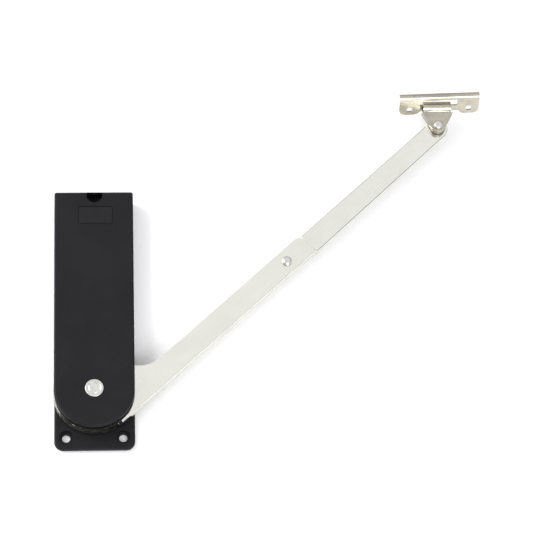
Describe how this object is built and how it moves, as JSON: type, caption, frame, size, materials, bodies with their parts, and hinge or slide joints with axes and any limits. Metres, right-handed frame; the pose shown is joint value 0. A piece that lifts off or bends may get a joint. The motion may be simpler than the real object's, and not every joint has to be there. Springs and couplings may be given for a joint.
{
  "type": "door closer",
  "caption": "Surface door closer: U-bent black housing with cam, springs and damper, folding two-part plated arm, and a slotted angle bracket hinged on a strap.",
  "frame": {"origin": "centre of the housing's flat mounting face", "axes": "+Z out of the mounting face towards the cover, +Y towards the housing's bent end, +X towards the arm's side"},
  "size_m": [0.2718, 0.2317, 0.0226],
  "materials": {
    "black_housing": "satin black enamel on bent steel plate",
    "black_plate": "blank black plate",
    "nickel_rivets": "nickel plated, peened",
    "nickel_arm": "nickel plated, satin",
    "nickel_bracket": "nickel plated, satin",
    "washers": "plain steel",
    "bronze": "sintered bronze, oiled",
    "hard_steel": "hardened",
    "ground_steel": "ground bright",
    "slider_steel": "plain, greased",
    "spring_steel": "oil-tempered wire",
    "zinc_barrel": "zinc plated tube",
    "brass": "turned"
  },
  "bodies": {
    "housing": {"housing": "black_housing", "name_plate": "black_plate", "pivot_rivet": "nickel_rivets", "pivot_bush": "bronze", "pivot_washer_upper": "washers", "pivot_washer_lower": "washers", "guide_rod_left": "ground_steel", "guide_rod_right": "ground_steel", "spring_seat": "slider_steel", "closing_spring_left": "spring_steel", "closing_spring_right": "spring_steel", "damper_cylinder": "zinc_barrel", "damper_end_cap": "brass", "damper_adjuster": "brass"},
    "main_arm": {"main_arm": "nickel_arm", "cam": "hard_steel", "cam_rivet_1": "hard_steel", "cam_rivet_2": "hard_steel", "cam_rivet_3": "hard_steel", "elbow_rivet": "nickel_rivets", "elbow_washer": "washers"},
    "spring_slider": {"spring_slider": "slider_steel", "damper_rod": "ground_steel"},
    "cam_roller": {"cam_roller": "ground_steel"},
    "link_arm": {"link_arm": "nickel_arm", "link_rivet": "nickel_rivets", "link_washer": "washers"},
    "hinge_strap": {"hinge_strap": "nickel_arm"},
    "wall_bracket": {"wall_bracket": "nickel_bracket"}
  },
  "joints": [
    {"name": "arm_swing", "type": "hinge", "parent": "housing", "child": "main_arm", "pos_m": [0, -0.04775, 0.009], "axis": [0, 0, 1], "range_deg": [-150, 0], "stiffness_Nm_per_rad": 1, "springref_deg": 45.84},
    {"name": "slider_travel", "type": "slide", "parent": "housing", "child": "spring_slider", "axis": [0, 1, 0], "range_m": [0, 0.01], "deforming": ["closing_spring_left", "closing_spring_right"]},
    {"name": "roller_spin", "type": "hinge", "parent": "spring_slider", "child": "cam_roller", "pos_m": [0, -0.03275, 0.009], "axis": [0, 0, 1], "continuous": true},
    {"name": "elbow_fold", "type": "hinge", "parent": "main_arm", "child": "link_arm", "pos_m": [0.11982, 0.03676, 0.009], "axis": [0, 0, 1], "range_deg": [0, 75]},
    {"name": "link_pivot", "type": "hinge", "parent": "link_arm", "child": "hinge_strap", "pos_m": [0.21938, 0.12911, 0.01365], "axis": [0, 0, 1], "range_deg": [-132, 38]},
    {"name": "bracket_tilt", "type": "hinge", "parent": "hinge_strap", "child": "wall_bracket", "pos_m": [0.21924, 0.14251, 0.01365], "axis": [0.9994, 0.0349, 0], "range_deg": [-145, 75]}
  ],
  "couplings": [
    {"joint": "slider_travel", "follows": "arm_swing", "m_per_rad": -0.003819}
  ]
}
